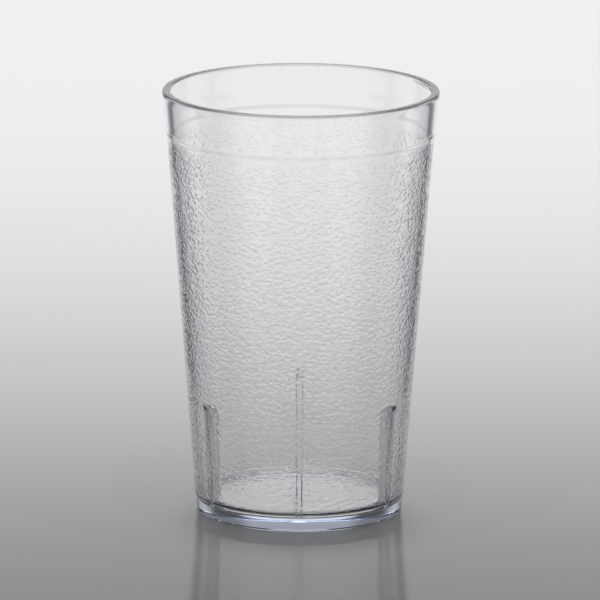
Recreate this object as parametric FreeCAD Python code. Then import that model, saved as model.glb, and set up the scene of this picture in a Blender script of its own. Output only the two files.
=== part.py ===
import FreeCAD, Part
import math
import os
from FreeCAD import Vector

# A stackable drinking tumbler, moulded in one piece from clear plastic.
# It stands mouth up on Z = 0, with its axis on Z. Sizes are in millimetres,
# and heights are measured from the surface that it stands on.

# Rim and smooth lip band
rim_diameter = 84.0
cup_height = 130.3
rim_thickness = 2.5
rim_corner_radius = 0.8
band_height = 12.7
band_draft_deg = 4.7
band_step = 0.45
band_step_height = 0.7

# Grained outer wall, set back a little behind the lip band
wall_foot_diameter = 63.7
wall_foot_thickness = 2.5

# Smooth base ring and the underside
base_ring_height = 5.0
base_ring_draft_deg = 5.2
base_step = 0.1
foot_edge_radius = 0.6
foot_land_width = 2.6
foot_recess_depth = 0.4
foot_recess_draft_deg = 45.0

# Inner floor
floor_height = 4.35
floor_corner_radius = 2.4

# Stacking ribs inside, which the foot of the next tumbler in a stack rests on
rib_count = 3
rib_start_deg = 90.0
rib_width = 2.2
rib_top_height = 36.0
rib_floor_depth = 2.35
rib_draft_deg = 1.7
rib_shoulder_radius = 3.5
rib_nose_flat = 0.2
rib_fillet_radius = 0.4
rib_root_depth = 1.0

# Radii, heights and slopes that follow from the sizes above
rim_radius = rim_diameter / 2
rim_edge_radius = rim_radius + rim_corner_radius * (1 / math.tan(math.radians(45 - band_draft_deg / 2)) - 1)
mouth_radius = rim_radius - rim_thickness
band_foot_height = cup_height - band_height
band_slope = math.tan(math.radians(band_draft_deg))
band_foot_radius = rim_edge_radius - band_height * band_slope
wall_top_radius = band_foot_radius - band_step
wall_top_height = band_foot_height - band_step_height
wall_foot_radius = wall_foot_diameter / 2
ring_top_radius = wall_foot_radius - base_step
foot_radius = ring_top_radius - base_ring_height * math.tan(math.radians(base_ring_draft_deg))
land_inner_radius = foot_radius - foot_land_width
recess_radius = land_inner_radius - foot_recess_depth * math.tan(math.radians(foot_recess_draft_deg))
bore_floor_radius = wall_foot_radius - wall_foot_thickness
bore_slope = (mouth_radius - bore_floor_radius) / (cup_height - floor_height)
rib_slope = math.tan(math.radians(rib_draft_deg))
rib_nose_radius = (rib_width - rib_nose_flat) / 2
ORIGIN = Vector(0, 0, 0)
AXIS = Vector(0, 0, 1)


def point(radius, height):
    """A point of the section, in the XZ plane."""
    return Vector(radius, 0, height)


def bore_radius(height):
    """Radius of the inner wall at a height."""
    return bore_floor_radius + bore_slope * (height - floor_height)


def rib_tip_radius(height):
    """Distance from the axis to a rib's inner edge at a height."""
    return bore_floor_radius - rib_floor_depth + rib_slope * (height - floor_height)


def round_corner(before, corner, after, radius):
    """Start, middle and end of the arc that rounds a corner of an outline."""
    to_before = (before - corner).normalize()
    to_after = (after - corner).normalize()
    half_angle = to_before.getAngle(to_after) / 2
    reach = radius / math.tan(half_angle)
    inward = (to_before + to_after).normalize()
    centre = corner + inward * (radius / math.sin(half_angle))
    return corner + to_before * reach, centre - inward * radius, corner + to_after * reach


def path(corners):
    """Edges from the first corner to the last, each given as its point and its rounding radius."""
    edges = []
    last = corners[0][0]
    for index in range(1, len(corners)):
        corner, radius = corners[index]
        if radius:
            start, middle, end = round_corner(corners[index - 1][0], corner, corners[index + 1][0], radius)
            edges.append(Part.makeLine(last, start))
            edges.append(Part.Arc(start, middle, end).toShape())
            last = end
        else:
            edges.append(Part.makeLine(last, corner))
            last = corner
    return edges


def shell():
    """Everything but the ribs, turned about the axis: outside, rim, inside and underside."""
    outline = path([
        (point(0, foot_recess_depth), 0),
        (point(recess_radius, foot_recess_depth), 0),
        (point(land_inner_radius, 0), 0),
        (point(foot_radius, 0), foot_edge_radius),
        (point(ring_top_radius, base_ring_height), 0),
        (point(wall_foot_radius, base_ring_height), 0),
        (point(wall_top_radius, wall_top_height), 0),
        (point(band_foot_radius, band_foot_height), 0),
        (point(rim_edge_radius, cup_height), rim_corner_radius),
        (point(mouth_radius, cup_height), rim_corner_radius),
        (point(bore_floor_radius, floor_height), floor_corner_radius),
        (point(0, floor_height), 0),
        (point(0, foot_recess_depth), 0),
    ])
    section = Part.Face(Part.Wire(outline))
    return section.revolve(ORIGIN, AXIS, 360)


def follows_nose(edge):
    """Whether an edge of the plain rib runs down its inner side, round its shoulder or along its top."""
    middle = edge.valueAt((edge.FirstParameter + edge.LastParameter) / 2)
    on_side_face = math.isclose(abs(middle.y), rib_width / 2, abs_tol=1e-6)
    in_wall = middle.x > bore_radius(middle.z) + rib_root_depth / 2
    in_floor = middle.z < floor_height
    return on_side_face and not in_wall and not in_floor


def rib():
    """One stacking rib on the +X side, rooted in the wall and the floor, with a round nose."""
    root_height = floor_height - rib_root_depth
    heel = point(rib_tip_radius(root_height), root_height)
    side = Part.Face(Part.Wire(path([
        (heel, 0),
        (point(rib_tip_radius(rib_top_height), rib_top_height), rib_shoulder_radius),
        (point(bore_radius(rib_top_height) + rib_root_depth, rib_top_height), 0),
        (point(bore_radius(root_height) + rib_root_depth, root_height), 0),
        (heel, 0),
    ])))
    plate = side.extrude(Vector(0, rib_width, 0))
    plate.translate(Vector(0, -rib_width / 2, 0))
    return plate.makeFillet(rib_nose_radius, [edge for edge in plate.Edges if follows_nose(edge)])


def is_turned(face):
    """Whether a face goes round the axis, as the shell's faces do, and not only round a rib."""
    centre = face.CenterOfMass
    return math.hypot(centre.x, centre.y) < rib_width / 2


def meets_rib(edge, body):
    """Whether an edge lies where a rib meets the shell."""
    faces = body.ancestorsOfType(edge, Part.Face)
    return len(faces) == 2 and is_turned(faces[0]) != is_turned(faces[1])


def tumbler():
    """The whole moulding: the shell and the ribs evenly spaced round its inside, blended in."""
    body = shell()
    body.rotate(ORIGIN, AXIS, rib_start_deg + 180 / rib_count)
    ribs = []
    for number in range(rib_count):
        copy = rib()
        copy.rotate(ORIGIN, AXIS, rib_start_deg + number * 360 / rib_count)
        ribs.append(copy)
    body = body.multiFuse(ribs).removeSplitter()
    return body.makeFillet(rib_fillet_radius, [edge for edge in body.Edges if meets_rib(edge, body)])


os.makedirs("parts", exist_ok=True)
moulding = tumbler()
moulding.exportStep("parts/tumbler.step")
box = moulding.optimalBoundingBox()
print("tumbler: solids", len(moulding.Solids), "valid", moulding.isValid())
print("volume in cm3", round(moulding.Volume / 1000, 2))
print("box in mm", round(box.XLength, 2), round(box.YLength, 2), round(box.ZLength, 2))
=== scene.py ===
import bpy
import math
from mathutils import Matrix, Vector, noise


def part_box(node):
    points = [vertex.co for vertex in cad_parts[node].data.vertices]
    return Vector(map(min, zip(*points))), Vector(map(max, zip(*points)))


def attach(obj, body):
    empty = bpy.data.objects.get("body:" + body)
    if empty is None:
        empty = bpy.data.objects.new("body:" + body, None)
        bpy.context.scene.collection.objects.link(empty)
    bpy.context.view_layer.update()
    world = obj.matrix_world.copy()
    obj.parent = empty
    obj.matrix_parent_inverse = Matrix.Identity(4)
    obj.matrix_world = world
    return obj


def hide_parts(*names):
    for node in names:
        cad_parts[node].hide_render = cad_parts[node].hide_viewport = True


# The clear plastic tumbler, on a pale glossy table with a bright wall behind it.
# Sizes are in metres, in the frame of the CAD model: the foot's centre is the origin.

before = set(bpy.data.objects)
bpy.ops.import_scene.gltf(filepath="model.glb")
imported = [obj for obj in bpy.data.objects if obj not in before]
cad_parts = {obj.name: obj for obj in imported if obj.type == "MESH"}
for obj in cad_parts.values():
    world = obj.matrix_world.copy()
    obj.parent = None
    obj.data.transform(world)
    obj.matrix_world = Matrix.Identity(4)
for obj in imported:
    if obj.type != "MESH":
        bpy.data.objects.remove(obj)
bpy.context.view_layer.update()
MM = 0.001

# Driving sizes of the tumbler
_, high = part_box("tumbler")
cup_height = high.z
rim_radius = 42.0 * MM
rim_thickness = 2.5 * MM
rim_corner_radius = 0.8 * MM
band_height = 12.7 * MM
band_slope = math.tan(math.radians(4.7))
band_step = 0.45 * MM
band_step_height = 0.7 * MM
wall_foot_radius = 31.85 * MM
wall_foot_thickness = 2.5 * MM
base_ring_height = 5.0 * MM
base_ring_slope = math.tan(math.radians(5.2))
base_step = 0.1 * MM
foot_edge_radius = 0.6 * MM
foot_land_width = 2.6 * MM
foot_recess_depth = 0.4 * MM
floor_height = 4.35 * MM
floor_corner_radius = 2.4 * MM
rib_count = 3
rib_start_angle = math.radians(90)
rib_width = 2.2 * MM
rib_top_height = 36.0 * MM
rib_floor_depth = 2.35 * MM
rib_slope = math.tan(math.radians(1.7))
rib_shoulder_radius = 3.5 * MM
rib_nose_flat = 0.2 * MM
rib_blend = 0.2 * MM

# What follows from them
rim_shoulder_height = cup_height - rim_corner_radius
mouth_radius = rim_radius - rim_thickness
band_foot_height = cup_height - band_height
band_foot_radius = rim_radius - (rim_shoulder_height - band_foot_height) * band_slope
wall_top_height = band_foot_height - band_step_height
wall_top_radius = band_foot_radius - band_step
wall_slope = (wall_top_radius - wall_foot_radius) / (wall_top_height - base_ring_height)
ring_top_radius = wall_foot_radius - base_step
foot_radius = ring_top_radius - base_ring_height * base_ring_slope
land_inner_radius = foot_radius - foot_land_width
recess_radius = land_inner_radius - foot_recess_depth
bore_floor_radius = wall_foot_radius - wall_foot_thickness
bore_slope = (mouth_radius - bore_floor_radius) / (cup_height - floor_height)
rib_nose_radius = (rib_width - rib_nose_flat) / 2

# Ledge under the lip band, as a soft curve that starts below it and ends above it
ledge_start = wall_top_height - 1.1 * MM
ledge_end = band_foot_height + 0.6 * MM
band_row_gap = 1.5 * MM

# Mesh density, as rows and columns of vertices
outer_columns = 424
grain_rows = 134
ledge_rows = 8
band_rows = 6
rim_arc_steps = 10
foot_arc_steps = 6
rib_nose_steps = 12
rib_shoulder_steps = 18
plain_columns = 40
bore_rows = 8
above_rib_rows = 5
corner_steps = 9

# Grain in the mesh of the outer wall, as pebbles with creases between them
grain_margin = 0.15 * MM
grain_cell = 3.2 * MM
grain_relief = 0.012 * MM
grain_bend = 0.35
grain_bend_rate = 0.6
crease_reach = 0.8

# Where the grain fades: about half as deep low on the wall, and gone at the base ring and the ledge
grain_low_share = 0.55
grain_added_share = 0.45
grain_rise_start = 25 * MM
grain_rise_end = 100 * MM
grain_foot_fade = 2.5 * MM
grain_top_fade_start = 6.0 * MM
grain_top_fade_end = 1.5 * MM


def smoothstep(start, end, value):
    """0 before start, 1 after end, and a smooth rise between them."""
    t = min(max((value - start) / (end - start), 0.0), 1.0)
    return t * t * (3 - 2 * t)


def arc(centre, radius, start_deg, end_deg, steps):
    """Points of an arc in the section, as (radius, height), both ends included."""
    points = []
    for index in range(steps + 1):
        angle = math.radians(start_deg + (end_deg - start_deg) * index / steps)
        points.append((centre[0] + radius * math.cos(angle), centre[1] + radius * math.sin(angle)))
    return points


def between(start, end, steps):
    """Points from start up to but not including end, evenly spaced."""
    return [
        (start[0] + (end[0] - start[0]) * k / steps, start[1] + (end[1] - start[1]) * k / steps)
        for k in range(steps)
    ]


def grain_fade(height):
    """Share of the grain's full depth at a height."""
    share = grain_low_share + grain_added_share * smoothstep(grain_rise_start, grain_rise_end, height)
    at_foot = smoothstep(base_ring_height, base_ring_height + grain_foot_fade, height)
    top_start = band_foot_height - grain_top_fade_start
    top_end = band_foot_height - grain_top_fade_end
    at_top = 1 - smoothstep(top_start, top_end, height)
    return share * min(at_foot, at_top)


def pebble(position):
    """Height of the grain at a place on the wall, from -1 in a crease to 0 on a pebble.

    noise_vector takes its offsets from the clock, so the pebbles bend differently in each run.
    """
    cell = position / grain_cell
    cell = cell + grain_bend * noise.noise_vector(cell * grain_bend_rate)
    distances = noise.voronoi(cell)[0]
    crease = min((distances[1] - distances[0]) / crease_reach, 1.0)
    return crease * (2 - crease) - 1


def wall_radius(height):
    """Outer radius of the grained wall at a height."""
    return wall_foot_radius + (height - base_ring_height) * wall_slope


def band_radius(height):
    """Outer radius of the lip band at a height."""
    return band_foot_radius + (height - band_foot_height) * band_slope


def bore_radius(height):
    """Radius of the plain bore at a height."""
    return bore_floor_radius + bore_slope * (height - floor_height)


def smooth_rows(points):
    """Rows of the section that carry no grain."""
    return [(radius, height, 0) for radius, height in points]


def outer_profile():
    """Section from the foot ring's inner edge up and over the rim, as (radius, height, grained)."""
    rows = smooth_rows(between((land_inner_radius, 0), (foot_radius - foot_edge_radius, 0), 2))
    edge_centre = (foot_radius - foot_edge_radius, foot_edge_radius)
    rows += smooth_rows(arc(edge_centre, foot_edge_radius, -90, 0, foot_arc_steps))
    ring_start = (foot_radius + foot_edge_radius * base_ring_slope, 2 * foot_edge_radius)
    ring_top = (ring_top_radius, base_ring_height)
    rows += smooth_rows(between(ring_start, ring_top, 3))
    rows += smooth_rows([ring_top, (wall_foot_radius, base_ring_height)])

    grain_start = base_ring_height + grain_margin
    grain_height = ledge_start - base_ring_height - grain_margin
    for index in range(grain_rows + 1):
        height = grain_start + grain_height * index / grain_rows
        rows.append((wall_radius(height), height, 1))
    for index in range(1, ledge_rows + 1):
        height = ledge_start + (ledge_end - ledge_start) * index / ledge_rows
        wall = wall_radius(height)
        outward = (band_radius(height) - wall) * smoothstep(ledge_start, ledge_end, height)
        rows.append((wall + outward, height, 0))

    band_start = (band_foot_radius + band_row_gap * band_slope, band_foot_height + band_row_gap)
    rows += smooth_rows(between(band_start, (rim_radius, rim_shoulder_height), band_rows))
    outer_corner = (rim_radius - rim_corner_radius, rim_shoulder_height)
    inner_corner = (bore_radius(rim_shoulder_height) + rim_corner_radius, rim_shoulder_height)
    rows += smooth_rows(arc(outer_corner, rim_corner_radius, 0, 90, rim_arc_steps))
    rows += smooth_rows(arc(inner_corner, rim_corner_radius, 90, 180, rim_arc_steps))
    return rows


def rib_radius(across, height):
    """Distance from the axis to a rib's surface, at a place across it and a height, or infinity."""
    inset_side = abs(across) - rib_nose_flat / 2
    if inset_side > rib_nose_radius:
        return math.inf
    inset = 0.0
    if inset_side > 0:
        inset = rib_nose_radius - math.sqrt(rib_nose_radius ** 2 - inset_side ** 2)
    tip = bore_floor_radius - rib_floor_depth + rib_slope * (height - floor_height)
    shoulder_height = rib_top_height - rib_shoulder_radius
    if height <= shoulder_height:
        return tip + inset
    rise = height - shoulder_height
    reach = rib_shoulder_radius - inset
    if rise >= reach:
        return math.inf
    return tip + rib_shoulder_radius - math.sqrt(reach ** 2 - rise ** 2)


def inner_radius(across, height):
    """Distance from the axis to the inner wall, ribs included, with a soft seam between them."""
    bore = bore_radius(height)
    depth = bore - rib_radius(across, height)
    far_from_rib = -20 * rib_blend
    if depth < far_from_rib:
        return bore
    return bore - 0.5 * (depth + math.sqrt(depth * depth + rib_blend * rib_blend))


def inner_columns():
    """Places round the bore, as (angle, distance across the nearest rib), closer together at ribs."""
    half_width = rib_width / 2
    seam_steps = (0.004, 0.05, 0.12, 0.25, 0.45, 0.8, 1.3, 1.9)
    across = []
    for k in range(rib_nose_steps + 1):
        turn = math.radians(90 * k / rib_nose_steps)
        across.append(rib_nose_flat / 2 + rib_nose_radius * math.sin(turn))
    across += [half_width + step * MM for step in seam_steps]
    sector = 2 * math.pi / rib_count
    mean_radius = bore_radius((floor_height + rib_top_height) / 2)
    angles = [math.asin(place / mean_radius) for place in across]
    last = angles[-1]
    step = (sector / 2 - last) / plain_columns
    angles += [last + step * (k + 1) for k in range(plain_columns)]
    across += [math.sin(angle) * mean_radius for angle in angles[len(across):]]
    half_sector = list(zip(angles, across))
    mirrored = [(-angle, -place) for angle, place in reversed(half_sector[:-1])]
    sector_columns = mirrored + [(0.0, 0.0)] + half_sector
    columns = []
    for number in range(rib_count):
        columns += [(rib_start_angle + number * sector + angle, place) for angle, place in sector_columns]
    return columns


def inner_levels():
    """Heights of the bore's rows, from the mouth down to the top of the floor's corner."""
    second_gap = 0.6 * MM
    shoulder_gap = 0.3 * MM
    corner_gap = 0.2 * MM
    mouth = rim_shoulder_height - 0.3 * MM
    second = mouth - second_gap
    above_ribs = rib_top_height + 2.0 * MM
    shoulder = rib_top_height - rib_shoulder_radius
    below_shoulder = shoulder - shoulder_gap
    corner_top = floor_height + floor_corner_radius
    upper_height = above_ribs - mouth + second_gap
    lower_height = corner_top + corner_gap - shoulder + shoulder_gap

    levels = [mouth, second]
    levels += [second + upper_height * k / bore_rows for k in range(1, bore_rows + 1)]
    rib_margin = above_ribs - rib_top_height
    levels += [above_ribs - rib_margin * k / above_rib_rows for k in range(1, above_rib_rows)]
    for k in range(rib_shoulder_steps + 1):
        turn = math.radians(90 - 90 * k / rib_shoulder_steps)
        levels.append(shoulder + rib_shoulder_radius * math.sin(turn))
    levels += [below_shoulder]
    levels += [below_shoulder + lower_height * k / bore_rows for k in range(1, bore_rows + 1)]
    return levels


class Shell:
    """The mesh as it grows: its vertices, its faces and the grain's share on each vertex."""

    def __init__(self):
        self.vertices = []
        self.faces = []
        self.grain = []

    def ring(self, points, grain=0.0):
        """Adds one ring of vertices and returns their numbers."""
        first = len(self.vertices)
        self.vertices.extend(points)
        self.grain += [grain] * len(points)
        return list(range(first, len(self.vertices)))

    def bridge(self, lower, upper, outward):
        """Adds quads between two rings of the same length."""
        count = len(lower)
        for k in range(count):
            n = (k + 1) % count
            quad = (lower[k], lower[n], upper[n], upper[k])
            self.faces.append(quad if outward else quad[::-1])

    def zip_rings(self, outer_ring, outer_angles, inner_ring, inner_angles):
        """Adds triangles between two rings of different length, by merging their angles."""
        a, b = 0, 0
        count_a, count_b = len(outer_ring), len(inner_ring)
        full_turn = 2 * math.pi
        while a < count_a or b < count_b:
            next_a = outer_angles[(a + 1) % count_a] + (full_turn if a + 1 >= count_a else 0)
            next_b = inner_angles[(b + 1) % count_b] + (full_turn if b + 1 >= count_b else 0)
            corner_a, corner_b = outer_ring[a % count_a], inner_ring[b % count_b]
            if b >= count_b or (a < count_a and next_a <= next_b):
                self.faces.append((corner_a, outer_ring[(a + 1) % count_a], corner_b))
                a += 1
            else:
                self.faces.append((corner_a, inner_ring[(b + 1) % count_b], corner_b))
                b += 1


def turned(angles):
    """Directions that point straight out from the axis at these angles."""
    return [Vector((math.cos(angle), math.sin(angle), 0)) for angle in angles]


def ring_points(directions, radii, height):
    """Points at one height, one in each direction, each at its own distance from the axis."""
    return [direction * radius + Vector((0, 0, height)) for direction, radius in zip(directions, radii)]


def add_outside(shell, directions):
    """Adds the outer surface from the foot ring over the rim; returns its first and last rings."""
    rings = []
    for radius, height, grained in outer_profile():
        share = grained * grain_fade(height)
        points = ring_points(directions, [radius] * len(directions), height)
        if grained:
            depth = grain_relief * share
            points = [place + way * (depth * pebble(place)) for way, place in zip(directions, points)]
        rings.append(shell.ring(points, share))
    for lower, upper in zip(rings, rings[1:]):
        shell.bridge(lower, upper, True)
    return rings[0], rings[-1]


def add_underside(shell, directions, foot_ring):
    """Adds the shallow recess under the floor, from the foot ring's inner edge to the middle."""
    inner_band = 0.2 * MM
    rings = [foot_ring]
    for radius in (recess_radius, recess_radius - inner_band):
        rings.append(shell.ring(ring_points(directions, [radius] * len(directions), foot_recess_depth)))
    for outer, inner in zip(rings, rings[1:]):
        shell.bridge(inner, outer, True)
    centre = shell.ring([Vector((0, 0, foot_recess_depth))])[0]
    last = rings[-1]
    for k in range(len(last)):
        shell.faces.append((last[k], centre, last[(k + 1) % len(last)]))


def add_inside(shell):
    """Adds the bore with its ribs, the rounded corner and the floor; returns its top ring and angles."""
    columns = inner_columns()
    column_angles = [angle for angle, _ in columns]
    directions = turned(column_angles)
    rings = []
    for height in inner_levels():
        radii = [inner_radius(across, height) for _, across in columns]
        rings.append(shell.ring(ring_points(directions, radii, height)))

    corner_top = floor_height + floor_corner_radius
    corner_radii = [inner_radius(across, corner_top) for _, across in columns]
    for step in range(corner_steps + 1):
        angle = math.radians(90 * step / corner_steps)
        inset = floor_corner_radius * (1 - math.cos(angle))
        height = corner_top - floor_corner_radius * math.sin(angle)
        rings.append(shell.ring(ring_points(directions, [radius - inset for radius in corner_radii], height)))
    for inset in (0.3 * MM, 2.0 * MM):
        radii = [radius - floor_corner_radius - inset for radius in corner_radii]
        rings.append(shell.ring(ring_points(directions, radii, floor_height)))
    for upper, lower in zip(rings, rings[1:]):
        shell.bridge(lower, upper, False)

    centre = shell.ring([Vector((0, 0, floor_height))])[0]
    last = rings[-1]
    for k in range(len(last)):
        shell.faces.append((last[k], last[(k + 1) % len(last)], centre))
    return rings[0], column_angles


def build_tumbler():
    """The whole moulding as one closed mesh, with a 'grain' value on each vertex."""
    shell = Shell()
    angles = [2 * math.pi * k / outer_columns for k in range(outer_columns)]
    directions = turned(angles)
    foot_ring, rim_ring = add_outside(shell, directions)
    add_underside(shell, directions, foot_ring)
    mouth_ring, mouth_angles = add_inside(shell)
    start = mouth_angles.index(min(mouth_angles))
    mouth_ring = mouth_ring[start:] + mouth_ring[:start]
    mouth_angles = mouth_angles[start:] + mouth_angles[:start]
    shell.zip_rings(rim_ring, angles, mouth_ring, mouth_angles)

    mesh = bpy.data.meshes.new("tumbler_clear")
    mesh.from_pydata([tuple(vertex) for vertex in shell.vertices], [], shell.faces)
    mesh.validate()
    mesh.update()
    attribute = mesh.attributes.new("grain", "FLOAT", "POINT")
    attribute.data.foreach_set("value", shell.grain)
    mesh.shade_smooth()
    print("tumbler triangles", sum(len(face) - 2 for face in shell.faces))
    piece = bpy.data.objects.new("tumbler_clear", mesh)
    bpy.context.scene.collection.objects.link(piece)
    return piece


def new_material(name):
    """An empty node material, with its node list and links."""
    material = bpy.data.materials.new(name)
    material.use_nodes = True
    tree = material.node_tree
    tree.nodes.clear()
    return material, tree.nodes, tree.links


def math_node(nodes, links, operation, *inputs):
    """A Math node whose inputs are sockets or numbers; returns its output."""
    node = nodes.new("ShaderNodeMath")
    node.operation = operation
    for socket, value in zip(node.inputs, inputs):
        if isinstance(value, (int, float)):
            socket.default_value = value
        else:
            links.new(value, socket)
    return node.outputs[0]


def map_range(nodes, links, value, start, end, low_result, high_result):
    """A smooth step of a value, from low_result at start to high_result at end."""
    node = nodes.new("ShaderNodeMapRange")
    node.interpolation_type = "SMOOTHSTEP"
    node.inputs["From Min"].default_value = start
    node.inputs["From Max"].default_value = end
    node.inputs["To Min"].default_value = low_result
    node.inputs["To Max"].default_value = high_result
    links.new(value, node.inputs["Value"])
    return node.outputs["Result"]


def grain_normal(nodes, links):
    """Surface direction with the fine grain: rounded cells, wider than tall, with creases between."""
    cell_size = 1.6 * MM
    cell_squash = (0.85, 0.85, 1.25)
    bend_size = 3.5 * MM
    bend_reach = 1.1 * MM
    pebble_top, crease_edge = 0.28, 0.58
    bump_depth = 0.075 * MM

    place = nodes.new("ShaderNodeTexCoord").outputs["Object"]
    bend = nodes.new("ShaderNodeTexNoise")
    bend.inputs["Scale"].default_value = 1 / bend_size
    bend.inputs["Detail"].default_value = 2.0
    links.new(place, bend.inputs["Vector"])
    bent = nodes.new("ShaderNodeVectorMath")
    bent.operation = "MULTIPLY_ADD"
    links.new(bend.outputs["Color"], bent.inputs[0])
    bent.inputs[1].default_value = (bend_reach, bend_reach, bend_reach)
    links.new(place, bent.inputs[2])
    squash = nodes.new("ShaderNodeMapping")
    squash.inputs["Scale"].default_value = cell_squash
    links.new(bent.outputs[0], squash.inputs["Vector"])
    cells = nodes.new("ShaderNodeTexVoronoi")
    cells.feature = "F1"
    cells.inputs["Scale"].default_value = 1 / cell_size
    links.new(squash.outputs[0], cells.inputs["Vector"])

    rise = map_range(nodes, links, cells.outputs["Distance"], pebble_top, crease_edge, 1.0, 0.0)
    mask = nodes.new("ShaderNodeAttribute")
    mask.attribute_name = "grain"
    bump = nodes.new("ShaderNodeBump")
    bump.inputs["Strength"].default_value = 1.0
    bump.inputs["Distance"].default_value = bump_depth
    links.new(math_node(nodes, links, "MULTIPLY", rise, mask.outputs["Fac"]), bump.inputs["Height"])
    return bump.outputs["Normal"]


def clear_plastic():
    """Clear moulded plastic: glossy, a faint blue in its thickness, with a fine grain where the mesh says."""
    polish_roughness = 0.02
    plastic_index = 1.57
    thickness_colour = (0.30, 0.45, 0.76, 1)
    thickness_density = 8.0

    material, nodes, links = new_material("clear_plastic")
    shader = nodes.new("ShaderNodeBsdfPrincipled")
    shader.inputs["Base Color"].default_value = (1, 1, 1, 1)
    shader.inputs["Metallic"].default_value = 0.0
    shader.inputs["Roughness"].default_value = polish_roughness
    shader.inputs["IOR"].default_value = plastic_index
    shader.inputs["Transmission Weight"].default_value = 1.0
    links.new(grain_normal(nodes, links), shader.inputs["Normal"])
    inside = nodes.new("ShaderNodeVolumeAbsorption")
    inside.inputs["Color"].default_value = thickness_colour
    inside.inputs["Density"].default_value = thickness_density
    output = nodes.new("ShaderNodeOutputMaterial")
    links.new(shader.outputs[0], output.inputs["Surface"])
    links.new(inside.outputs[0], output.inputs["Volume"])
    return material


def add_camera():
    """A long lens well back and a little above, as in the photograph of 600 by 600 pixels."""
    image_width = 600
    focal_pixels = 8149
    distance = 2417.8 * MM
    height = 611.5 * MM
    pitch = 0.22233
    roll = math.radians(0.25)
    data = bpy.data.cameras.new("camera")
    data.sensor_width = 36.0
    data.lens = focal_pixels / image_width * data.sensor_width
    data.clip_start = 0.1
    data.clip_end = 30.0
    camera = bpy.data.objects.new("camera", data)
    turn = Matrix.Rotation(math.pi / 2 - pitch, 4, "X") @ Matrix.Rotation(roll, 4, "Z")
    camera.matrix_world = Matrix.Translation((0, -distance, height)) @ turn
    bpy.context.scene.collection.objects.link(camera)
    bpy.context.scene.camera = camera


def table_level(nodes, links):
    """How the table top varies, as three values from place to place.

    The first is how bright its grey is, as painted light that fades from near white behind the tumbler
    to grey in front. The second is the share of that grey that is left where the painted shade of the
    dark sides is. The third is 0 in the shadow at the foot and 1 clear of it.
    A direct view of the table never shows the dark sides, but the plastic shows them.
    """
    def work(operation, *inputs):
        return math_node(nodes, links, operation, *inputs)

    def step(value, start, end, low_result, high_result):
        return map_range(nodes, links, value, start, end, low_result, high_result)

    place = nodes.new("ShaderNodeTexCoord").outputs["Object"]
    split = nodes.new("ShaderNodeSeparateXYZ")
    links.new(place, split.inputs[0])
    x, y, _ = split.outputs
    from_middle = work("ABSOLUTE", x)

    # Painted light: near white far behind the tumbler, greyer in front as the light falls off, and pale again
    # nearer than the picture shows
    far_level, fade_rate, fade_place = 0.845, 5.9, 0.147
    front_level, front_full, front_end = 0.95, -0.45, -0.18
    power = work("MULTIPLY", work("SUBTRACT", fade_place, y), fade_rate)
    level = work("DIVIDE", far_level, work("ADD", work("EXPONENT", power), 1.0))
    level = work("MAXIMUM", level, step(y, front_full, front_end, front_level, 0.0))

    # Painted shade: the table is painted dark at both sides, standing in for the unlit room there. The dark
    # sides start just outside the picture and spread apart behind the tumbler
    spread_rate, spread_delay = 0.47, 0.08
    dark_start, dark_full = 0.098, 0.135
    spread = work("SUBTRACT", work("MULTIPLY", y, spread_rate), spread_delay)
    spread = work("MAXIMUM", spread, 0.0)
    beside = step(work("SUBTRACT", from_middle, spread), dark_start, dark_full, 0.0, 1.0)

    # Painted light: farther out behind the tumbler the table is pale once more
    aside_rate, aside_start, aside_full, aside_level = -0.9, 0.16, 0.26, 0.74
    aside_near, aside_far = 0.0, 0.08
    outward = work("ADD", from_middle, work("MULTIPLY", y, aside_rate))
    aside = step(outward, aside_start, aside_full, 0.0, 1.0)
    aside = work("MULTIPLY", aside, step(y, aside_near, aside_far, 0.0, 1.0))
    level = work("MAXIMUM", level, work("MULTIPLY", aside, aside_level))

    # The painted dark sides are a little weaker behind the tumbler and end in front of it and far behind it
    weaker_start, weaker_end, weaker_share = 0.04, 0.18, 0.78
    dark_front_end, dark_front_full = -0.12, -0.05
    dark_back_full, dark_back_end = 0.55, 0.75
    loss = step(y, weaker_start, weaker_end, 1.0, weaker_share)
    loss = work("MULTIPLY", loss, work("SUBTRACT", 1.0, aside))
    loss = work("MULTIPLY", loss, step(y, dark_front_end, dark_front_full, 0.0, 1.0))
    loss = work("MULTIPLY", loss, step(y, dark_back_full, dark_back_end, 1.0, 0.0))
    side = work("SUBTRACT", 1.0, work("MULTIPLY", beside, loss))

    # Shadow at the foot, a little nearer the camera than the tumbler's axis
    shadow_place = (0, -0.022, 0)
    shadow_core, shadow_edge = 0.028, 0.046
    shadow_level, shadow_depth = 0.80, 0.20
    distance = nodes.new("ShaderNodeVectorMath")
    distance.operation = "DISTANCE"
    links.new(place, distance.inputs[0])
    distance.inputs[1].default_value = shadow_place
    shade = step(distance.outputs["Value"], shadow_core, shadow_edge, 0.0, 1.0)
    kept = work("ADD", work("MULTIPLY", shade, shadow_depth), shadow_level)

    # A direct view sees no dark sides, and sees the table pale in front, as views from behind need
    near_full, near_end, near_level = -0.28, -0.13, 0.8
    straight = nodes.new("ShaderNodeLightPath").outputs["Is Camera Ray"]
    side = work("MAXIMUM", side, straight)
    near = work("MAXIMUM", straight, beside)
    near = work("MULTIPLY", near, step(y, near_full, near_end, near_level, 0.0))
    level = work("MAXIMUM", level, near)
    return work("MULTIPLY", level, kept), side, shade


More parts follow.
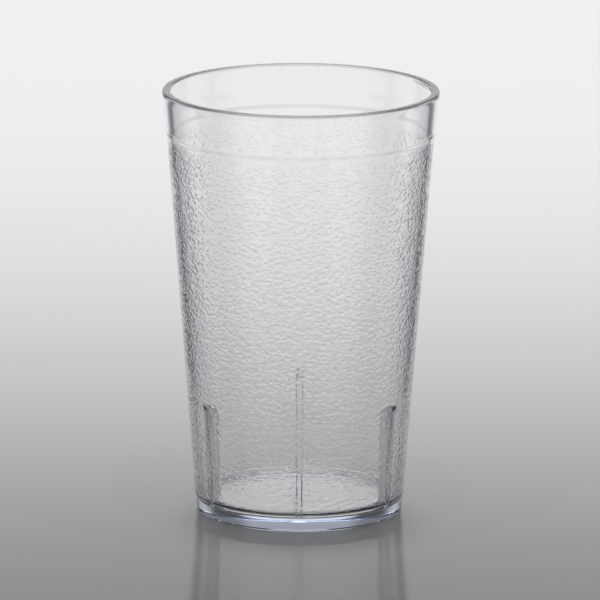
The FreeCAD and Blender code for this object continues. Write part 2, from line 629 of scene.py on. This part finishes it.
def add_table():
    """The table top, with a soft gloss. Much of its brightness is its own, as on a lit backdrop."""
    size = 5.0
    # Painted shade: the dark colour the table takes at its sides, which only the plastic shows
    painted_side_shade_colour = (0.05, 0.05, 0.075, 1)
    own_share = 0.65
    gloss_roughness = 0.10
    gloss_index = 1.5
    gloss_share = 0.6
    corners = [(-size, -size, 0), (size, -size, 0), (size, size, 0), (-size, size, 0)]
    mesh = bpy.data.meshes.new("table")
    mesh.from_pydata(corners, [], [(0, 1, 2, 3)])
    table = bpy.data.objects.new("table", mesh)
    bpy.context.scene.collection.objects.link(table)

    material, nodes, links = new_material("table_top")
    level, side, shade = table_level(nodes, links)
    colour = nodes.new("ShaderNodeMix")
    colour.data_type = "RGBA"
    links.new(side, colour.inputs["Factor"])
    colour.inputs[6].default_value = painted_side_shade_colour
    links.new(level, colour.inputs[7])

    lit = nodes.new("ShaderNodeBsdfDiffuse")
    links.new(colour.outputs[2], lit.inputs["Color"])
    shown = nodes.new("ShaderNodeEmission")
    links.new(colour.outputs[2], shown.inputs["Color"])
    ray = nodes.new("ShaderNodeLightPath")
    seen = math_node(nodes, links, "MAXIMUM", ray.outputs["Is Camera Ray"], ray.outputs["Is Glossy Ray"])
    seen = math_node(nodes, links, "MAXIMUM", seen, ray.outputs["Is Transmission Ray"])
    clear_of_foot = math_node(nodes, links, "MULTIPLY", shade, own_share)
    body = nodes.new("ShaderNodeMixShader")
    links.new(math_node(nodes, links, "MULTIPLY", seen, clear_of_foot), body.inputs["Fac"])
    links.new(lit.outputs[0], body.inputs[1])
    links.new(shown.outputs[0], body.inputs[2])

    gloss = nodes.new("ShaderNodeBsdfGlossy")
    gloss.inputs["Roughness"].default_value = gloss_roughness
    fresnel = nodes.new("ShaderNodeFresnel")
    fresnel.inputs["IOR"].default_value = gloss_index
    surface = nodes.new("ShaderNodeMixShader")
    links.new(math_node(nodes, links, "MULTIPLY", fresnel.outputs[0], gloss_share), surface.inputs["Fac"])
    links.new(body.outputs[0], surface.inputs[1])
    links.new(gloss.outputs[0], surface.inputs[2])
    output = nodes.new("ShaderNodeOutputMaterial")
    links.new(surface.outputs[0], output.inputs["Surface"])
    mesh.materials.append(material)


def add_world():
    """A room with one wide bright wall behind the tumbler, a duller one in front and dark flanks.

    Azimuths are angles to either side of straight behind the tumbler.
    """
    window_full, window_end = math.radians(19), math.radians(31)
    window_top_full, window_top_end = math.radians(50), math.radians(65)
    wall_low_level, wall_high_level = 0.84, 1.12
    wall_low_top, wall_high_foot = math.radians(3), math.radians(9)
    front_start, front_full = math.radians(45), math.radians(65)
    gap_level, front_level = 0.08, 0.72
    flank_middle, flank_core, flank_edge = math.radians(97), math.radians(12), math.radians(26)
    flank_share = 0.1

    world = bpy.data.worlds.new("studio")
    bpy.context.scene.world = world
    world.use_nodes = True
    nodes, links = world.node_tree.nodes, world.node_tree.links
    nodes.clear()

    def work(operation, *inputs):
        return math_node(nodes, links, operation, *inputs)

    def step(value, start, end, low_result, high_result):
        return map_range(nodes, links, value, start, end, low_result, high_result)

    direction = nodes.new("ShaderNodeTexCoord").outputs["Generated"]
    split = nodes.new("ShaderNodeSeparateXYZ")
    links.new(direction, split.inputs[0])
    x, y, z = split.outputs
    azimuth = work("ABSOLUTE", work("ARCTAN2", x, y))
    window = step(azimuth, window_full, window_end, 1.0, 0.0)
    below_top = step(z, math.sin(window_top_full), math.sin(window_top_end), 1.0, 0.0)
    window = work("MULTIPLY", window, below_top)
    wall = step(z, math.sin(wall_low_top), math.sin(wall_high_foot), wall_low_level, wall_high_level)
    front = step(azimuth, front_start, front_full, gap_level, front_level)
    off_flank = work("ABSOLUTE", work("SUBTRACT", azimuth, flank_middle))
    front = work("MULTIPLY", front, step(off_flank, flank_core, flank_edge, flank_share, 1.0))
    level = work("MAXIMUM", work("MULTIPLY", window, wall), front)
    background = nodes.new("ShaderNodeBackground")
    links.new(level, background.inputs["Color"])
    output = nodes.new("ShaderNodeOutputWorld")
    links.new(background.outputs[0], output.inputs["Surface"])


def add_lamp():
    """One wide soft lamp overhead, a little behind the tumbler."""
    size, height, behind, radiance = 1.6, 1.5, 0.2, 2.9
    data = bpy.data.lights.new("overhead", "AREA")
    data.shape = "SQUARE"
    data.size = size
    data.energy = radiance * math.pi * size * size
    lamp = bpy.data.objects.new("overhead", data)
    lamp.location = (0, behind, height)
    bpy.context.scene.collection.objects.link(lamp)


add_camera()
add_table()
add_world()
add_lamp()
tumbler = build_tumbler()
tumbler.data.materials.append(clear_plastic())
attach(tumbler, "root")
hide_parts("tumbler")

scene = bpy.context.scene
scene.view_settings.view_transform = "Standard"
scene.cycles.max_bounces = 24
scene.cycles.transmission_bounces = 24
scene.cycles.glossy_bounces = 12
